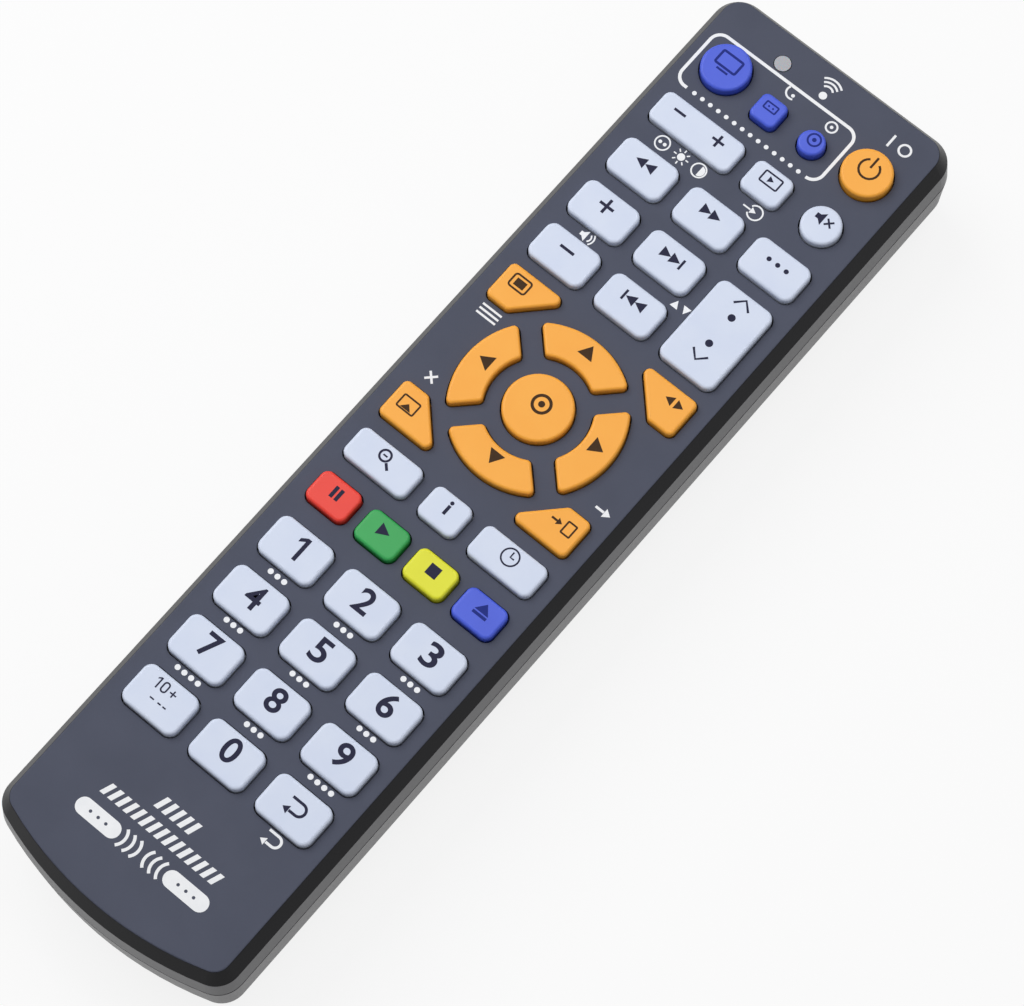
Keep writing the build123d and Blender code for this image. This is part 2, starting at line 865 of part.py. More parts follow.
def make_lamp(x, radius, length):
    """A lens-nosed lamp that looks out of the head wall, with two leads bent up to the board."""
    nose_y = half_length - lower_draft - lamp_recess
    back_y = nose_y - length
    bend_y = back_y - lead_run
    with BuildPart() as lamp:
        with BuildSketch(Plane.YZ.offset(x)):
            with BuildLine():
                Polyline(
                    (nose_y - radius, lamp_height + radius),
                    (back_y, lamp_height + radius),
                    (back_y, lamp_height),
                    (nose_y, lamp_height),
                )
                RadiusArc((nose_y, lamp_height), (nose_y - radius, lamp_height + radius), -radius)
            make_face()
        revolve(axis=Axis((x, 0, lamp_height), (0, 1, 0)))
        with BuildSketch(Plane.XZ.offset(-back_y)):
            with Locations((x, lamp_height)):
                Circle(radius + lamp_rim)
        extrude(amount=-lamp_rim_thickness)
        for side in (-1, 1):
            lead_x = x + side * lead_pitch / 2
            with BuildSketch(Plane.XZ.offset(-back_y)):
                with Locations((lead_x, lamp_height)):
                    Rectangle(lead_size, lead_size)
            extrude(amount=lead_run + lead_size)
            with BuildSketch(Plane.XY.offset(lamp_height)):
                with Locations((lead_x, bend_y - lead_size / 2)):
                    Rectangle(lead_size, lead_size)
            extrude(amount=board_underside - lamp_height)
    return lamp.part


infrared_emitter = make_lamp(emitter_offset, emitter_radius, emitter_length)
infrared_emitter.label = "infrared_emitter"
learning_receiver = make_lamp(-receiver_offset, receiver_radius, receiver_length)
learning_receiver.label = "learning_receiver"

# Controller chip with its two rows of pins, under the board
with BuildPart() as controller_chip:
    with BuildSketch(Plane.XY.offset(board_underside - chip_thickness)):
        with Locations((0, ring_y + chip_rise)):
            Rectangle(chip_width, chip_length)
    extrude(amount=chip_thickness)
    with BuildSketch(Plane.XY.offset(board_underside - chip_pin_thickness)):
        with Locations((0, ring_y + chip_rise)):
            with GridLocations(chip_width + chip_pin_length, chip_pin_pitch, 2, chip_pin_count):
                Rectangle(chip_pin_length, chip_pin_width)
    extrude(amount=chip_pin_thickness)
controller_chip.part.label = "controller_chip"

# Crystal in its flat metal can
with BuildPart() as crystal:
    with BuildSketch(Plane.XY.offset(board_underside - crystal_height)):
        with Locations((crystal_offset, ring_y + crystal_rise)):
            SlotOverall(crystal_width, crystal_length)
    extrude(amount=crystal_height)
crystal.part.label = "crystal"

# Capacitor, standing on the underside of the board
with BuildPart() as capacitor:
    with BuildSketch(Plane.XY.offset(board_underside - capacitor_height)):
        with Locations((-capacitor_offset, ring_y + capacitor_rise)):
            Circle(capacitor_radius)
    extrude(amount=capacitor_height)
    fillet(capacitor.edges().group_by(Axis.Z)[0], radius=capacitor_round)
capacitor.part.label = "capacitor"

# Two cells side by side, pointing opposite ways, with the contacts at their ends
cells = []
springs = []
plates = []
for side in (-1, 1):
    x = side * cell_spacing / 2
    end_y = (cradle_tail_y + cradle_head_y) / 2 + side * (cradle_length / 2 - contact_thickness)
    nub_y = end_y - side * contact_fit
    with BuildPart() as cell:
        with BuildSketch(Plane.XZ.offset(-nub_y)):
            with Locations((x, cell_centre_height)):
                Circle(cell_nub_diameter / 2)
        extrude(amount=side * cell_nub_length)
        with BuildSketch(Plane.XZ.offset(side * cell_nub_length - nub_y)):
            with Locations((x, cell_centre_height)):
                Circle(cell_diameter / 2)
        extrude(amount=side * (cell_length - cell_nub_length))
        ends = cell.edges().filter_by(GeomType.CIRCLE)
        fillet(ends.group_by(SortBy.LENGTH)[-1], radius=cell_round)
    cells.append(cell.part)
    far_y = nub_y - side * cell_length
    with BuildPart() as spring:
        with BuildLine():
            coil = Helix(
                pitch=(spring_length - spring_wire) / spring_turns,
                height=spring_length - spring_wire,
                radius=spring_radius,
                center=(x, far_y - side * spring_wire / 2, cell_centre_height),
                direction=(0, -side, 0),
            )
        with BuildSketch(Plane(coil @ 0, z_dir=coil % 0)):
            Circle(spring_wire / 2)
        sweep(path=coil)
    springs.append(spring.part)
    for end in (-1, 1):
        plate_y = (cradle_tail_y + cradle_head_y) / 2 + end * (cradle_length - contact_thickness) / 2
        with BuildPart() as plate:
            with BuildSketch(Plane.XZ.offset(-plate_y)):
                with Locations((x, cell_centre_height)):
                    RectangleRounded(contact_width, contact_height, contact_round)
            extrude(amount=contact_thickness / 2, both=True)
        plates.append(plate.part)
batteries = Compound(label="batteries", children=cells)
battery_springs = Compound(label="battery_springs", children=springs)
battery_plates = Compound(label="battery_plates", children=plates)

nodes = list(keys.values())
nodes += [upper_case.part, lower_case.part, battery_door.part, door_catch.part, rear_feet.part]
nodes += [keypad_mat.part, circuit_board.part, indicator_light, infrared_emitter, learning_receiver]
nodes += [controller_chip.part, crystal.part, capacitor.part]
nodes += [batteries, battery_springs, battery_plates]
for node in nodes:
    export_step(node, "parts/" + node.label + ".step")
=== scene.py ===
import json
import math

import bpy
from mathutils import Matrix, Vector


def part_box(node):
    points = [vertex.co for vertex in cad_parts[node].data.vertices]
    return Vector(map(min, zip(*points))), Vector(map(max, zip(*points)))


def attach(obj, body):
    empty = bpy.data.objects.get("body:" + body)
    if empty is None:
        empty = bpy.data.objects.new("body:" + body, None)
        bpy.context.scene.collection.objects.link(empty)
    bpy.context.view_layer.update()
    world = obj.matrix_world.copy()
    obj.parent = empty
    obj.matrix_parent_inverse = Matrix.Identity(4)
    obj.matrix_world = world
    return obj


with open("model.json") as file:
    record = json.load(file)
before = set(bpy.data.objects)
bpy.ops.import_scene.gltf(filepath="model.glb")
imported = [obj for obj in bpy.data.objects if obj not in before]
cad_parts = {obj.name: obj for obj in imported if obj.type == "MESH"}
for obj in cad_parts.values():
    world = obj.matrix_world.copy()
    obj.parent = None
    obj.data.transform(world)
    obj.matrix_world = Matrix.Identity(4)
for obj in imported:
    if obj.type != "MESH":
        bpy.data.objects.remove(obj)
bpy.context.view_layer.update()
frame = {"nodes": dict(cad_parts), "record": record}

MM = 0.001

# Camera, fitted to the key grid of the photograph: its place and sensor in millimetres, its turn in
# degrees, and the picture and the focal length in pixels
camera_place = (158.7, -169.8, 661.8)
camera_turn = (19.549, 0.575, 40.2)
sensor_width = 36.0
picture_width = 1024
focal_pixels = 4000

# Thickness of printed ink, and how far it is let into what it is printed on
ink_film = 0.04
ink_sunk = 0.01

# Index of refraction of what is clear
silicone_ior = 1.41
epoxy_ior = 1.55

# Specular level of grained plastic and of ink, which are dull, and of the smoother back
dull_specular = 0.12
satin_specular = 0.25

# Fineness of the noise in the colours and in the sheens, and how strongly the grain stands out
drift_detail = 3.0
speck_detail = 2.0
grain_strength = 0.5

# How level a surface lies: 1 lies flat and 0 stands upright. Walls turn into bevel within the first
# pair of levels, and the bevel turns into the flat face within the second.
wall_levels = (0.2, 0.4)
flat_levels = (0.7, 0.9)


def colour(code):
    """Linear colour, as shaders take it, of an sRGB hex value."""
    channels = []
    for start in (0, 2, 4):
        share = int(code[start : start + 2], 16) / 255
        channels.append(share / 12.92 if share <= 0.04045 else ((share + 0.055) / 1.055) ** 2.4)
    return (*channels, 1.0)


def add_node(tree, kind, settings, inputs):
    """Adds a node. Each input is given a value, or the output of another node."""
    node = tree.nodes.new(kind)
    for name, value in settings.items():
        setattr(node, name, value)
    for name, value in inputs.items():
        if isinstance(value, bpy.types.NodeSocket):
            tree.links.new(value, node.inputs[name])
        else:
            node.inputs[name].default_value = value
    return node


def new_material(name):
    """An empty material, its node tree and its main shader."""
    material = bpy.data.materials.new(name)
    material.use_nodes = True
    return material, material.node_tree, material.node_tree.nodes["Principled BSDF"]


def mottled_colour(tree, place, light, dark, patch):
    """Colour that drifts between two close values over patches of a size in millimetres."""
    scale = 1 / (patch * MM)
    noise = add_node(
        tree, "ShaderNodeTexNoise", {}, {"Vector": place, "Scale": scale, "Detail": drift_detail}
    )
    blend = add_node(
        tree,
        "ShaderNodeMix",
        {"data_type": "RGBA"},
        {0: noise.outputs["Fac"], 6: colour(light), 7: colour(dark)},
    )
    return blend.outputs[2]


def moulded(name, light, dark, roughness, spread, grain, depth, patch=9.0):
    """Moulded plastic or rubber, with a drifting colour, an uneven sheen and a grain.

    The sheen is a roughness and its spread. The size and depth of the grain and the size of the
    patches of colour are in millimetres."""
    material, tree, shader = new_material(name)
    place = add_node(tree, "ShaderNodeTexCoord", {}, {}).outputs["Object"]
    tree.links.new(mottled_colour(tree, place, light, dark, patch), shader.inputs["Base Color"])
    scale = 1 / (grain * MM)
    speck = add_node(
        tree, "ShaderNodeTexNoise", {}, {"Vector": place, "Scale": scale, "Detail": speck_detail}
    )
    sheen = add_node(
        tree,
        "ShaderNodeMapRange",
        {},
        {"Value": speck.outputs["Fac"], "To Min": roughness - spread, "To Max": roughness + spread},
    )
    tree.links.new(sheen.outputs["Result"], shader.inputs["Roughness"])
    bump = add_node(
        tree,
        "ShaderNodeBump",
        {},
        {"Height": speck.outputs["Fac"], "Strength": grain_strength, "Distance": depth * MM},
    )
    tree.links.new(bump.outputs["Normal"], shader.inputs["Normal"])
    return material, shader


def silicone(name, light, dark):
    """Moulded silicone key under a thin clear coat, which gives its edges a soft highlight."""
    material, shader = moulded(name, light, dark, 0.5, 0.05, 0.35, 0.01, 6.0)
    shader.inputs["IOR"].default_value = silicone_ior
    shader.inputs["Coat Weight"].default_value = 0.25
    shader.inputs["Coat Roughness"].default_value = 0.3
    return material


def metal(name, light, dark, roughness, scratch):
    """Drawn or rolled metal with fine lines along it, at a pitch in millimetres."""
    patch = 2.0
    spread = 0.06
    material, tree, shader = new_material(name)
    place = add_node(tree, "ShaderNodeTexCoord", {}, {}).outputs["Object"]
    tree.links.new(mottled_colour(tree, place, light, dark, patch), shader.inputs["Base Color"])
    shader.inputs["Metallic"].default_value = 1.0
    lines = add_node(
        tree,
        "ShaderNodeTexWave",
        {"bands_direction": "X"},
        {"Vector": place, "Scale": 1 / (scratch * MM), "Distortion": 3.0, "Detail": 2.0},
    )
    sheen = add_node(
        tree,
        "ShaderNodeMapRange",
        {},
        {"Value": lines.outputs["Fac"], "To Min": roughness - spread, "To Max": roughness + spread},
    )
    tree.links.new(sheen.outputs["Result"], shader.inputs["Roughness"])
    return material


def paint_lit_walls(material, shader, painted_wall_light):
    """Painted light: paler colour on the upright walls, for the light they catch from the floor.

    The slope is read in the piece's own axes, so the painted light turns with the piece. Gives back
    the level of the surface."""
    tree = material.node_tree
    normal = add_node(tree, "ShaderNodeTexCoord", {}, {}).outputs["Normal"]
    rise = add_node(tree, "ShaderNodeSeparateXYZ", {}, {"Vector": normal}).outputs["Z"]
    level = add_node(tree, "ShaderNodeMath", {"operation": "ABSOLUTE"}, {0: rise}).outputs[0]
    low, high = wall_levels
    sloped = add_node(
        tree, "ShaderNodeMapRange", {}, {"Value": level, "From Min": low, "From Max": high}
    )
    face_colour = shader.inputs["Base Color"].links[0].from_socket
    blend = add_node(
        tree,
        "ShaderNodeMix",
        {"data_type": "RGBA"},
        {0: sloped.outputs["Result"], 6: colour(painted_wall_light), 7: face_colour},
    )
    tree.links.new(blend.outputs[2], shader.inputs["Base Color"])
    return level


def polish_bevel_and_paint_shade(material, shader, painted_bevel_shade, smooth, painted_wall_light):
    """Smoother plastic on the bevel, where the mould has a polish and no erosion, and a darker
    colour that is painted shade.
    """
    tree = material.node_tree
    face_colour = shader.inputs["Base Color"].links[0].from_socket
    level = paint_lit_walls(material, shader, painted_wall_light)
    low, high = flat_levels
    flat = add_node(
        tree, "ShaderNodeMapRange", {}, {"Value": level, "From Min": low, "From Max": high}
    )
    blend = add_node(
        tree,
        "ShaderNodeMix",
        {"data_type": "RGBA"},
        {0: flat.outputs["Result"], 6: colour(painted_bevel_shade), 7: face_colour},
    )
    wall_blend = shader.inputs["Base Color"].links[0].from_node
    tree.links.new(blend.outputs[2], wall_blend.inputs[7])
    face_sheen = shader.inputs["Roughness"].links[0].from_socket
    sheen = add_node(
        tree,
        "ShaderNodeMix",
        {"data_type": "FLOAT"},
        {0: flat.outputs["Result"], 2: smooth, 3: face_sheen},
    )
    tree.links.new(sheen.outputs[0], shader.inputs["Roughness"])


# After the two colours come the roughness, its spread, the size and the depth of the grain, and the
# size of the patches.

# Face: ABS from a spark-eroded mould, dull with a grain. The real grain of about 0.1 mm is drawn
# at 0.3 mm, because it would not show at this distance. The bevel is smoother from a polish on the
# mould and darkened by painted shade, and the upright walls are paler with painted light.
face_plastic, face_shader = moulded(
    "spark_eroded_abs_charcoal", "545868", "4B4F5E", 0.55, 0.08, 0.3, 0.02
)
face_shader.inputs["Specular IOR Level"].default_value = dull_specular
# Painted shade darkens the bevel, and painted light makes the upright walls paler
polish_bevel_and_paint_shade(face_plastic, face_shader, "151518", 0.34, "636365")
# Back: the same plastic in black, smoother, so that it shows long soft highlights
back_plastic, back_shader = moulded("satin_abs_black", "29282B", "201F22", 0.38, 0.06, 0.4, 0.015)
back_shader.inputs["Specular IOR Level"].default_value = satin_specular
# Painted light makes the upright walls of the back paler
paint_lit_walls(back_plastic, back_shader, "585759")
# Catch: natural black plastic without the texture, slightly greyed by the thumb
catch_plastic = moulded("worn_abs_grey", "4A4A4E", "38383C", 0.34, 0.08, 0.6, 0.01, 3.0)[0]
# Feet: polished rubber pads, glossier than the plastic round them
foot_rubber = moulded("polished_rubber_black", "121214", "0B0B0D", 0.16, 0.04, 0.5, 0.004, 3.0)[0]
# Keys: pigmented silicone, even in colour and matt, with the soft highlight of its coat
light_silicone = silicone("coated_silicone_pale_blue", "DEE6F7", "D1DBF2")
orange_silicone = silicone("coated_silicone_orange", "FFB23E", "FBA831")
red_silicone = silicone("coated_silicone_red", "F5402F", "E53628")
green_silicone = silicone("coated_silicone_green", "2BA652", "249A49")
yellow_silicone = silicone("coated_silicone_yellow", "E9EA2C", "DEDD20")
blue_silicone = silicone("coated_silicone_blue", "4A63E2", "3E55D2")
# Mat: the same silicone without the coat, dull
mat_silicone = moulded("plain_silicone_grey", "4E4E54", "434349", 0.7, 0.05, 0.5, 0.01)[0]
# Indicator: milky acrylic that scatters the light of the lamp under it
guide_acrylic, guide_shader = moulded(
    "milky_acrylic", "B4B6BC", "A6A8AE", 0.3, 0.05, 0.4, 0.005, 2.0
)
guide_shader.inputs["Subsurface Weight"].default_value = 0.3
guide_shader.inputs["Subsurface Scale"].default_value = 0.5 * MM
# Lamps: cast epoxy with a glassy surface
emitter_epoxy, emitter_shader = moulded(
    "cast_epoxy_violet", "2C2142", "221936", 0.08, 0.03, 0.8, 0.002, 2.0
)
receiver_epoxy, receiver_shader = moulded(
    "cast_epoxy_black", "1B1B1E", "121214", 0.1, 0.03, 0.8, 0.002, 2.0
)
for epoxy_shader in (emitter_shader, receiver_shader):
    epoxy_shader.inputs["IOR"].default_value = epoxy_ior
# Board: glass-fibre laminate under green solder mask. The weave of about 0.5 mm is a faint relief.
board_laminate = moulded("solder_mask_green", "2F6F3C", "275F33", 0.35, 0.08, 0.5, 0.01, 4.0)[0]
# Chip: epoxy pressed round the silicon, dull black with the fine grain of its filler
chip_epoxy = moulded("moulded_epoxy_black", "202022", "18181A", 0.6, 0.06, 0.25, 0.01, 3.0)[0]
# Crystal: can drawn from steel sheet, satin with faint lines from the draw
crystal_can = metal("drawn_steel_can", "C4C5C6", "B2B3B4", 0.28, 0.4)
# Contacts: nickel on spring steel, bright and slightly warm, with the lines of the rolled strip
contact_nickel = metal("nickel_plated_steel", "D0CFCA", "BFBEB8", 0.24, 0.5)
# Capacitor: navy plastic sleeve shrunk on, smooth with an even sheen
capacitor_film = moulded("shrunk_sleeve_navy", "262B4A", "1D2140", 0.4, 0.05, 0.6, 0.004, 3.0)[0]
# Cells: bronze plastic film shrunk round the can, with a long highlight along each cell
cell_film = moulded("shrunk_wrap_bronze", "8F7D3E", "7E6D33", 0.3, 0.05, 0.6, 0.003, 4.0)[0]
# Inks: pad-printed, a little uneven in cover. The same dark ink comes out brown on orange.
dark_ink, dark_ink_shader = moulded(
    "pad_ink_slate", "23243A", "2D2E46", 0.6, 0.05, 0.3, 0.004, 1.5
)
brown_ink, brown_ink_shader = moulded(
    "pad_ink_dark_brown", "3A2818", "47311D", 0.6, 0.05, 0.3, 0.004, 1.5
)
blue_ink, blue_ink_shader = moulded(
    "pad_ink_deep_blue", "1E2A7C", "263489", 0.6, 0.05, 0.3, 0.004, 1.5
)
for ink_shader in (dark_ink_shader, brown_ink_shader, blue_ink_shader):
    ink_shader.inputs["Specular IOR Level"].default_value = dull_specular
white_ink = moulded("pad_ink_white", "FBFCFE", "EEF0F4", 0.5, 0.05, 0.3, 0.004, 1.5)[0]

finishes = {
    "case_face": face_plastic,
    "case_back": back_plastic,
    "catch": catch_plastic,
    "feet": foot_rubber,
    "key_light": light_silicone,
    "key_orange": orange_silicone,
    "key_red": red_silicone,
    "key_green": green_silicone,
    "key_yellow": yellow_silicone,
    "key_blue": blue_silicone,
    "mat": mat_silicone,
    "board": board_laminate,
    "light_guide": guide_acrylic,
    "emitter": emitter_epoxy,
    "receiver": receiver_epoxy,
    "chip": chip_epoxy,
    "crystal_can": crystal_can,
    "capacitor_sleeve": capacitor_film,
    "cell_wrap": cell_film,
    "contact_metal": contact_nickel,
}
for entry in frame["record"]["subparts"]:
    surface = frame["nodes"][entry["node"]].data
    surface.materials.clear()
    surface.materials.append(finishes[entry["material_slot"]])


# Flat shapes for the prints: lists of closed loops of points in millimetres. A loop inside another
# is a hole.
def circle(x, y, radius):
    """Loop round a point."""
    steps = 40
    loop = []
    for step in range(steps):
        turn = 2 * math.pi * step / steps
        loop.append((x + radius * math.cos(turn), y + radius * math.sin(turn)))
    return loop


def ring(x, y, radius, width):
    """Circular line of a width."""
    return [circle(x, y, radius), circle(x, y, radius - width)]


def box_loop(x, y, width, height, corner=0.0):
    """Rectangle, with rounded corners if a corner radius is given."""
    loop = []
    steps = 6 if corner else 0
    for side_x, side_y, start in ((1, 1, 0), (-1, 1, 90), (-1, -1, 180), (1, -1, 270)):
        for step in range(steps + 1):
            turn = math.radians(start + 90 * step / max(steps, 1))
            loop.append(
                (
                    x + side_x * (width / 2 - corner) + corner * math.cos(turn),
                    y + side_y * (height / 2 - corner) + corner * math.sin(turn),
                )
            )
    return loop


def outline_box(x, y, width, height, corner, line):
    """Rounded frame drawn with a line."""
    least_corner = 0.05
    inner = max(corner - line, least_corner)
    return [
        box_loop(x, y, width, height, corner),
        box_loop(x, y, width - 2 * line, height - 2 * line, inner),
    ]


def turned(loop, x, y, degrees):
    """A loop drawn round the origin, turned and moved to a point."""
    turn = math.radians(degrees)
    moved = []
    for px, py in loop:
        moved.append(
            (
                x + px * math.cos(turn) - py * math.sin(turn),
                y + px * math.sin(turn) + py * math.cos(turn),
            )
        )
    return moved


def triangle(x, y, width, height, degrees=0):
    """Triangle that points up before it is turned."""
    corners = [(-width / 2, -height / 2), (width / 2, -height / 2), (0, height / 2)]
    return turned(corners, x, y, degrees)


def cross(x, y, size, line, degrees=0):
    """Plus sign, or a cross when it is turned by 45 degrees."""
    a = size / 2
    b = line / 2
    points = [(b, a), (b, b), (a, b), (a, -b), (b, -b), (b, -a)]
    points += [(-b, -a), (-b, -b), (-a, -b), (-a, b), (-b, b), (-b, a)]
    return turned(points[::-1], x, y, degrees)


def arc(x, y, radius, start, end):
    """Open path along part of a circle."""
    steps = 16
    path = []
    for step in range(steps + 1):
        turn = math.radians(start + (end - start) * step / steps)
        path.append((x + radius * math.cos(turn), y + radius * math.sin(turn)))
    return path


def stroke(path, line):
    """Closed loop round an open path, as wide as the line."""
    left = []
    right = []
    for index, point in enumerate(path):
        before = Vector(path[max(index - 1, 0)])
        after = Vector(path[min(index + 1, len(path) - 1)])
        along = (after - before).normalized()
        across = Vector((-along.y, along.x)) * line / 2
        left.append(tuple(Vector(point) + across))
        right.append(tuple(Vector(point) - across))
    return left + right[::-1]


def dots(x, y, count, pitch, radius):
    """Row of dots."""
    row = []
    for index in range(count):
        row.append(circle(x + (index - (count - 1) / 2) * pitch, y, radius))
    return row


def film(name, curve, level, ink, body, fit=None):
    """Turns a flat curve into a film of ink at a level, and fits it to a box if one is given.

    A box of negative width and height turns the shape upside down."""
    curve.extrude = ink_film / 2
    shape = bpy.data.objects.new(name, curve)
    mesh = bpy.data.meshes.new_from_object(shape)
    bpy.data.objects.remove(shape)
    if fit:
        x, y, width, height = fit
        xs = [vertex.co.x for vertex in mesh.vertices]
        ys = [vertex.co.y for vertex in mesh.vertices]
        for vertex in mesh.vertices:
            vertex.co.x = x + ((vertex.co.x - min(xs)) / (max(xs) - min(xs)) - 0.5) * width
            vertex.co.y = y + ((vertex.co.y - min(ys)) / (max(ys) - min(ys)) - 0.5) * height
    for vertex in mesh.vertices:
        vertex.co.z += level + ink_film / 2 - ink_sunk
        vertex.co *= MM
    mesh.materials.clear()
    mesh.materials.append(ink)
    piece = bpy.data.objects.new(name, mesh)
    bpy.context.scene.collection.objects.link(piece)
    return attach(piece, body)


def printed(name, loops, level, ink, body):
    """Prints loops, which are placed from the middle of the ring, at a level."""
    curve = bpy.data.curves.new(name, "CURVE")
    curve.dimensions = "2D"
    curve.fill_mode = "BOTH"
    for loop in loops:
        spline = curve.splines.new("POLY")
        spline.points.add(len(loop) - 1)
        for point, (x, y) in zip(spline.points, loop):
            point.co = (ring_x + x, ring_y + y, 0, 1)
        spline.use_cyclic_u = True
    return film(name, curve, level, ink, body)


def figures(name, text, x, y, width, height, weight, level, ink, body):
    """Prints plain figures, thickened by a weight, in a box placed from the middle of the ring."""
    curve = bpy.data.curves.new(name, "FONT")
    curve.body = text
    curve.offset = weight
    curve.fill_mode = "BOTH"
    return film(name, curve, level, ink, body, (ring_x + x, ring_y + y, width, height))


def figure_one(x, y, height, line):
    """Figure one: a stem with a flag."""
    half = height / 2
    stem = 0.12 * height
    flag = 0.24 * height
    slope = 0.16 * height
    return [
        (x + stem + line / 2, y + half),
        (x + stem - line / 2, y + half),
        (x + stem - flag - line / 2, y + half - slope),
        (x + stem - flag - line / 2, y + half - slope - line),
        (x + stem - line / 2, y + half - line),
        (x + stem - line / 2, y - half),
        (x + stem + line / 2, y - half),
    ]


def middle(node):
    """Middle and top of a node, in millimetres."""
    low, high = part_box(node)
    return (low.x + high.x) / 2 / MM, (low.y + high.y) / 2 / MM, high.z / MM


# Prints are placed in millimetres from the middle of the ring of arrow keys
ring_x, ring_y, key_top = middle("key_ok")
face_top = middle("upper_case")[2]

# Keys of orange silicone, which take the brown ink
orange_keys = ("up", "left", "down", "right", "ok", "menu", "audio", "picture", "exit", "power")


def key_print(key, loops, ink=None):
    """Prints loops on the top of a key."""
    body = "key_" + key
    plain_ink = brown_ink if key in orange_keys else dark_ink
    return printed("print_" + key, loops, middle(body)[2], ink or plain_ink, body)


def face_print(name, loops):
    """Prints loops in white on the face."""
    return printed("face_" + name, loops, face_top, white_ink, "case")


# Legends of the number keys
figure_width = 3.1
figure_height = 4.6
column_places = (-14.5, 0.2, 15.0)
row_places = (-45.3, -56.6, -67.9, -79.2)
figure_weight = 0.018
one_line = 0.75
for index in range(1, 9):
    # The nine is the six turned upside down
    figure = "6" if index == 8 else str(index + 1)
    way = -1 if index == 8 else 1
    figures(
        f"print_{index + 1}",
        figure,
        column_places[index % 3],
        row_places[index // 3],
        way * figure_width,
        way * figure_height,
        figure_weight,
        key_top,
        dark_ink,
        f"key_{index + 1}",
    )
key_print("1", [figure_one(column_places[0], row_places[0], figure_height, one_line)])
figures(
    "print_0",
    "0",
    column_places[1],
    row_places[3],
    figure_width,
    figure_height,
    figure_weight,
    key_top,
    dark_ink,
    "key_0",
)
key_print(
    "10_plus",
    [figure_one(-17.0, -78.1, 2.1, 0.28)]
    + [box_loop(-15.4, -78.1, 1.3, 2.1, 0.6), box_loop(-15.4, -78.1, 0.74, 1.54, 0.35)]
    + [cross(-13.6, -78.2, 1.3, 0.26)]
    + [box_loop(-15.9, -80.9, 0.9, 0.26)]
    + [box_loop(x, -80.9, 0.7, 0.26) for x in (-14.3, -13.2)],
)


def turn_back(x, y, size, line):
    """Arrow that turns back on itself."""
    bend = 1.15 * size
    reach = 1.5 * size
    path = [(x - reach, y + bend)]
    path += arc(x + 0.8 * size, y, bend, 90, -90)
    path += [(x - 0.6 * size, y - bend)]
    return [stroke(path, line), triangle(x - 1.3 * size, y - bend, 1.6 * size, 1.2 * size, 90)]


key_print("return", turn_back(14.8, -79.6, 1.0, 0.5))

# Legends of the coloured keys
colour_row = -33.9
key_print("red", [box_loop(-16.6, colour_row, 0.7, 2.3), box_loop(-15.5, colour_row, 0.7, 2.3)])
key_print("green", [triangle(-5.4, colour_row, 2.4, 2.3, -90)])
key_print("yellow", [box_loop(5.5, colour_row, 2.2, 2.2)])
key_print(
    "blue",
    [triangle(16.4, colour_row + 0.5, 2.9, 1.8), box_loop(16.4, colour_row - 0.95, 2.9, 0.55)],
    blue_ink,
)

# Legends of the option keys
option_row = -23.7
key_print(
    "zoom",
    ring(-14.2, option_row + 0.3, 1.25, 0.4) + [box_loop(-14.2, option_row + 0.3, 0.9, 0.3)]
    + [turned(box_loop(0, 0, 1.4, 0.5), -12.75, option_row - 1.15, -45)],
)
key_print(
    "info",
    [circle(0.1, option_row + 1.05, 0.36), box_loop(0.1, option_row - 0.45, 0.6, 1.9)],
)
key_print(
    "timer",
    ring(13.8, option_row, 1.75, 0.3)
    + [stroke([(13.8, option_row + 1.1), (13.8, option_row), (14.6, option_row)], 0.28)],
)

# Legends of the ring and its corner keys
arrow_width = 3.1
arrow_length = 2.5
key_print("up", [triangle(0.1, 13.4, arrow_width, arrow_length)])
key_print("left", [triangle(-12.5, 0.8, arrow_width, arrow_length, 90)])
key_print("down", [triangle(0.1, -11.9, arrow_width, arrow_length, 180)])
key_print("right", [triangle(12.5, 0.8, arrow_width, arrow_length, -90)])
key_print("ok", ring(0.1, 0.8, 1.9, 0.55) + [circle(0.1, 0.8, 0.6)])
key_print("menu", outline_box(-17.0, 15.4, 3.9, 3.0, 0.7, 0.35) + [box_loop(-17.0, 15.4, 2.1, 1.5)])
key_print("audio", [triangle(16.2, 15.5, 1.9, 1.6, 90), triangle(18.4, 15.5, 1.9, 1.6, -90)])
key_print(
    "picture",
    outline_box(-17.2, -13.9, 3.8, 2.8, 0.4, 0.32) + [triangle(-17.2, -14.3, 2.2, 1.2)],
)
key_print(
    "exit",
    outline_box(18.2, -13.6, 2.1, 2.7, 0.3, 0.32)
    + [box_loop(15.1, -13.6, 1.2, 0.4), triangle(16.2, -13.6, 1.4, 1.0, -90)],
)

# Legends of the block above the ring
key_print("volume_up", [cross(-14.9, 36.2, 3.0, 0.55)])
key_print("volume_down", [box_loop(-14.9, 25.5, 3.0, 0.55)])
winding_row = 46.7
next_row = 36.0
previous_row = 25.5


def pointers(places, y, degrees):
    """Row of small triangles that point to one side."""
    return [triangle(x, y, 2.1, 2.0, degrees) for x in places]


key_print("rewind", pointers((-15.9, -13.9), winding_row, 90))
key_print("forward", pointers((-1.1, 0.9), winding_row, -90))
key_print("next", pointers((-1.3, 0.7), next_row, -90) + [box_loop(2.05, next_row, 0.45, 2.1)])
key_print(
    "previous",
    [box_loop(-2.0, previous_row, 0.45, 2.1)] + pointers((-0.7, 1.3), previous_row, 90),
)
key_print("system", dots(14.8, 46.6, 3, 1.9, 0.45))
chevron_line = 0.42
key_print(
    "channel",
    [
        stroke([(13.3, 36.4), (14.9, 38.0), (16.5, 36.4)], chevron_line),
        stroke([(13.3, 25.6), (14.9, 24.0), (16.5, 25.6)], chevron_line),
        circle(14.9, 33.9, 0.7),
        circle(14.9, 27.8, 0.7),
    ],
)
key_print("level", [box_loop(-16.5, 58.2, 2.5, 0.5), cross(-7.9, 58.2, 2.5, 0.5)])
key_print(
    "source",
    outline_box(3.9, 58.3, 4.0, 2.6, 0.4, 0.32) + [triangle(3.9, 58.3, 1.3, 1.1, -90)],
)
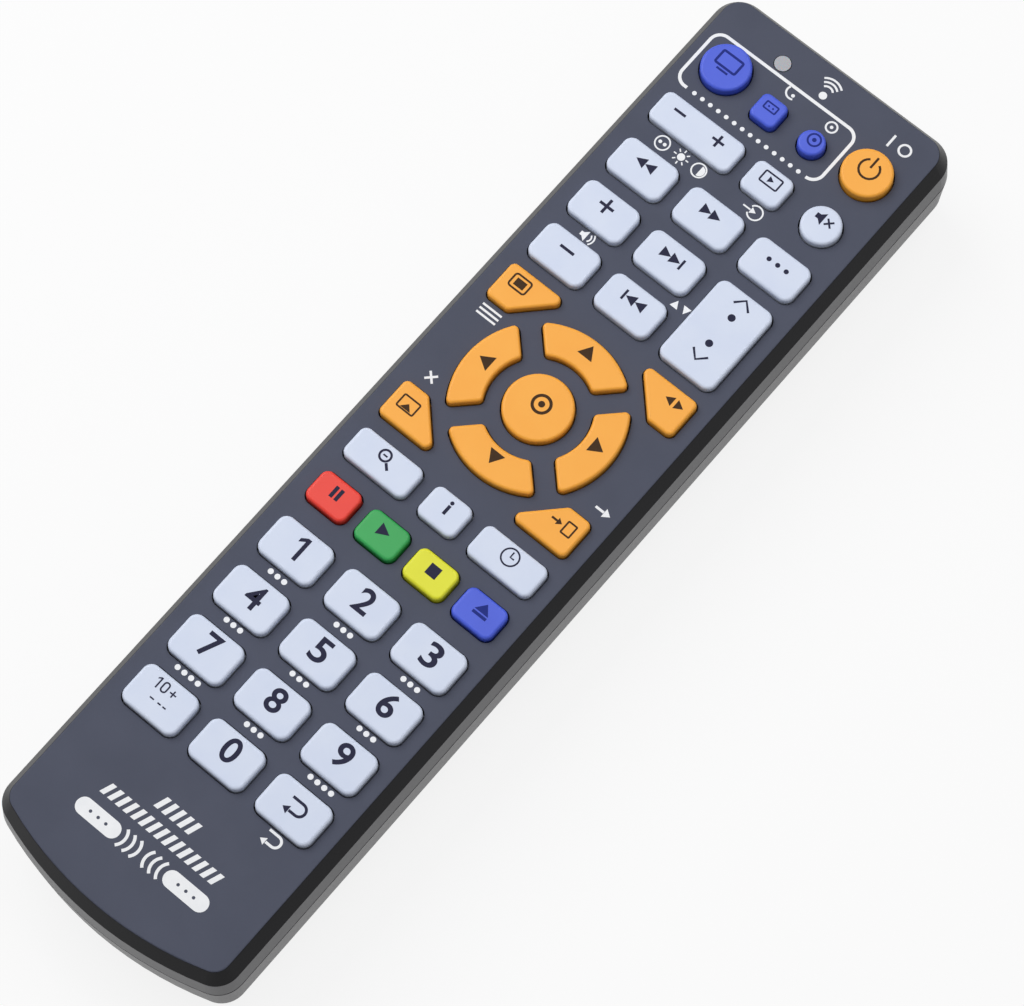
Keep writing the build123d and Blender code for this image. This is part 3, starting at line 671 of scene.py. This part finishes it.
key_print(
    "mute",
    [
        [(13.9, 57.9), (14.6, 57.9), (15.5, 57.1), (15.5, 59.7), (14.6, 58.9), (13.9, 58.9)],
        cross(16.7, 58.4, 1.9, 0.36, 45),
    ],
)
power_x = 15.7
power_y = 70.8
power_line = 0.42
key_print(
    "power",
    [
        stroke(arc(power_x, power_y, 1.9, 122, 418), power_line),
        box_loop(power_x, power_y + 1.5, power_line, 2.4),
    ],
)
key_print(
    "television",
    outline_box(-15.9, 71.1, 4.8, 3.2, 0.5, 0.45) + [box_loop(-15.9, 69.0, 2.4, 0.4)],
    blue_ink,
)
key_print(
    "receiver",
    outline_box(-4.8, 69.0, 2.8, 1.7, 0.3, 0.3) + dots(-4.8, 69.0, 2, 0.9, 0.18),
    blue_ink,
)
key_print("player", ring(4.9, 69.0, 1.35, 0.35) + [circle(4.9, 69.0, 0.4)], blue_ink)

# White prints on the face. A row of dots stands under each number key of the first three rows.
dot_counts = ((3, 3, 3), (3, 3, 3), (4, 3, 4))
dot_rows = (-51.2, -62.4, -73.9)
dot_pitch = 1.5
dot_radius = 0.52
dots_shift = 0.2
for row, counts in enumerate(dot_counts):
    for column, count in enumerate(counts):
        face_print(
            f"dots_{row}_{column}",
            dots(column_places[column] + dots_shift, dot_rows[row], count, dot_pitch, dot_radius),
        )

# Marks between the rows of keys and round the ring
icon_row = 52.2
rays = []
for index in range(8):
    rays.append(turned(box_loop(1.3, 0, 0.6, 0.24), -11.3, icon_row, 45 * index))
face_print("tint", ring(-15.5, icon_row, 1.5, 0.28) + dots(-15.5, icon_row, 2, 1.0, 0.34))
face_print("brightness", [circle(-11.3, icon_row, 0.72)] + rays)
face_print("contrast", ring(-7.3, icon_row, 1.5, 0.28) + [arc(-7.2, icon_row, 1.05, -90, 90)])
face_print(
    "input",
    [
        stroke(arc(5.3, icon_row, 1.4, -150, 150), 0.3),
        box_loop(3.5, icon_row, 1.6, 0.3),
        triangle(4.9, icon_row, 1.3, 1.1, -90),
    ],
)
face_print(
    "volume",
    [
        [(-15.6, 29.6), (-15.1, 29.6), (-14.3, 28.9), (-14.3, 31.1), (-15.1, 30.4), (-15.6, 30.4)],
        stroke(arc(-14.3, 30.0, 0.9, -50, 50), 0.28),
        stroke(arc(-14.3, 30.0, 1.5, -45, 45), 0.28),
    ],
)
face_print("channel", [triangle(5.6, 30.2, 1.6, 1.5), triangle(7.7, 30.2, 1.6, 1.5, 180)])
face_print("menu", [box_loop(-17.9, y, 4.2, 0.4) for y in (9.0, 8.1, 7.2)])
face_print("cancel", [cross(-17.9, -7.2, 2.4, 0.42, 45)])
face_print("exit", [box_loop(19.6, -7.1, 1.8, 0.45), triangle(21.2, -7.1, 1.8, 1.3, -90)])
face_print("return", turn_back(15.1, -86.0, 0.9, 0.48))
face_print("power", ring(17.9, 78.2, 1.3, 0.4) + [box_loop(14.9, 78.2, 0.45, 2.6)])
face_print("satellite", [stroke(arc(-4.0, 74.4, 1.3, 150, 300), 0.36), circle(-3.7, 73.9, 0.34)])
face_print("disc", ring(5.3, 73.5, 1.2, 0.34) + [circle(5.3, 73.5, 0.32)])

# Frame round the device keys, open along its foot, where a row of dots fills the gap
frame_line = 0.6
frame_corner = 2.2
frame_low, frame_high = 63.2, 75.4
frame_left, frame_right = -21.8, 9.9
frame_path = [(frame_left + frame_corner + 0.6, frame_low)]
frame_path += arc(frame_left + frame_corner, frame_low + frame_corner, frame_corner, 270, 180)
frame_path += arc(frame_left + frame_corner, frame_high - frame_corner, frame_corner, 180, 90)
frame_path += arc(frame_right - frame_corner, frame_high - frame_corner, frame_corner, 90, 0)
frame_path += arc(frame_right - frame_corner, frame_low + frame_corner, frame_corner, 0, -90)
face_print("device_frame", [stroke(frame_path, frame_line)])
face_print("device_dots", dots(-5.6, frame_low, 14, 1.8, 0.42))

# Signal mark near the head, and the marks near the tail
face_print(
    "signal",
    [
        circle(0.3, 77.3, 0.75),
        stroke(arc(0.3, 78.0, 1.3, 40, 140), 0.38),
        stroke(arc(0.3, 78.0, 2.1, 45, 135), 0.38),
        stroke(arc(0.3, 78.0, 2.9, 48, 132), 0.38),
    ],
)
slant = 0.45
bar = 0.95
bar_pitch = 1.7
bars_middle = 0.6
for line, (y, count, height) in enumerate(((-93.0, 5, 2.6), (-97.0, 15, 2.4))):
    bars = []
    for index in range(count):
        x = bars_middle + (index - (count - 1) / 2) * bar_pitch
        bars.append(
            [(x - bar / 2 - slant, y - height / 2), (x + bar / 2 - slant, y - height / 2)]
            + [(x + bar / 2 + slant, y + height / 2), (x - bar / 2 + slant, y + height / 2)]
        )
    face_print(f"tail_bars_{line}", bars)
capsule_row = -101.7
for side, x in ((-1, -9.3), (1, 10.1)):
    face_print(
        f"capsule_{side + 1}",
        [box_loop(x, capsule_row, 9.3, 3.2, 1.59)] + dots(x, capsule_row, 3, 1.7, 0.3),
    )
    waves = []
    for index in range(3):
        wave_x = 0.4 + side * (1.5 * index + 3.2)
        waves.append(stroke(arc(wave_x, capsule_row, 2.4, 90 + side * 45, 90 + side * 135), 0.55))
    face_print(f"waves_{side + 1}", waves)

# Camera
camera_data = bpy.data.cameras.new("camera")
camera_data.sensor_width = sensor_width
camera_data.lens = focal_pixels / picture_width * sensor_width
camera = bpy.data.objects.new("camera", camera_data)
camera.location = Vector(camera_place) * MM
camera.rotation_euler = [math.radians(turn) for turn in camera_turn]
bpy.context.scene.collection.objects.link(camera)
bpy.context.scene.camera = camera


def lamp(name, place, size, power):
    """Square studio lamp that faces the middle of the remote; place and size are in millimetres."""
    data = bpy.data.lights.new(name, "AREA")
    data.size = size * MM
    data.energy = power
    shape = bpy.data.objects.new(name, data)
    shape.location = Vector(place) * MM
    shape.rotation_euler = (-shape.location).to_track_quat("-Z", "Y").to_euler()
    bpy.context.scene.collection.objects.link(shape)


# A large softbox on the left is the main light, and a smaller one over the head opens the shade
lamp("main_softbox", (-620, 60, 760), 700, 5.5)
lamp("top_softbox", (60, 420, 900), 500, 2.2)


def pale_backdrop(tree, light, lit):
    """The pale light where the camera, a gloss or a glass sees it, and the lit one elsewhere."""
    rays = add_node(tree, "ShaderNodeLightPath", {}, {})
    seen = rays.outputs["Is Camera Ray"]
    for kind in ("Is Glossy Ray", "Is Transmission Ray"):
        either = add_node(
            tree, "ShaderNodeMath", {"operation": "MAXIMUM"}, {0: seen, 1: rays.outputs[kind]}
        )
        seen = either.outputs[0]
    return add_node(tree, "ShaderNodeMixShader", {}, {0: seen, 1: lit, 2: light})


# Floor: seamless white paper, just under the feet. Most of what the camera sees is its own white,
# so that the shadow stays soft.
floor_size = 6000
floor_gap = 0.05
own_share = 0.85
floor_mesh = bpy.data.meshes.new("floor")
half = floor_size / 2 * MM
corners = [(-half, -half, 0), (half, -half, 0), (half, half, 0), (-half, half, 0)]
floor_mesh.from_pydata(corners, [], [(0, 1, 2, 3)])
floor = bpy.data.objects.new("floor", floor_mesh)
floor.location.z = -floor_gap * MM
bpy.context.scene.collection.objects.link(floor)
paper, paper_tree, paper_shader = new_material("seamless_paper_white")
paper_shader.inputs["Base Color"].default_value = colour("F2F2F3")
paper_shader.inputs["Roughness"].default_value = 0.9
paper_shader.inputs["Specular IOR Level"].default_value = 0.1
own_white = add_node(
    paper_tree, "ShaderNodeEmission", {}, {"Color": colour("FFFFFF"), "Strength": 1.0}
)
soft_white = add_node(
    paper_tree,
    "ShaderNodeMixShader",
    {},
    {0: own_share, 1: paper_shader.outputs[0], 2: own_white.outputs[0]},
)
seen_floor = pale_backdrop(paper_tree, soft_white.outputs[0], paper_shader.outputs[0])
paper_tree.links.new(seen_floor.outputs[0], paper_tree.nodes["Material Output"].inputs["Surface"])
floor_mesh.materials.append(paper)

# Room: dim grey light all round, seen as white
world = bpy.data.worlds.new("studio")
bpy.context.scene.world = world
world.use_nodes = True
room_tree = world.node_tree
room_light = room_tree.nodes["Background"]
room_light.inputs["Color"].default_value = colour("FFFFFF")
room_light.inputs["Strength"].default_value = 0.3
room_white = add_node(
    room_tree, "ShaderNodeBackground", {}, {"Color": colour("FFFFFF"), "Strength": 1.0}
)
room = pale_backdrop(room_tree, room_white.outputs[0], room_light.outputs[0])
room_tree.links.new(room.outputs[0], room_tree.nodes["World Output"].inputs["Surface"])

bpy.context.scene.view_settings.view_transform = "Standard"
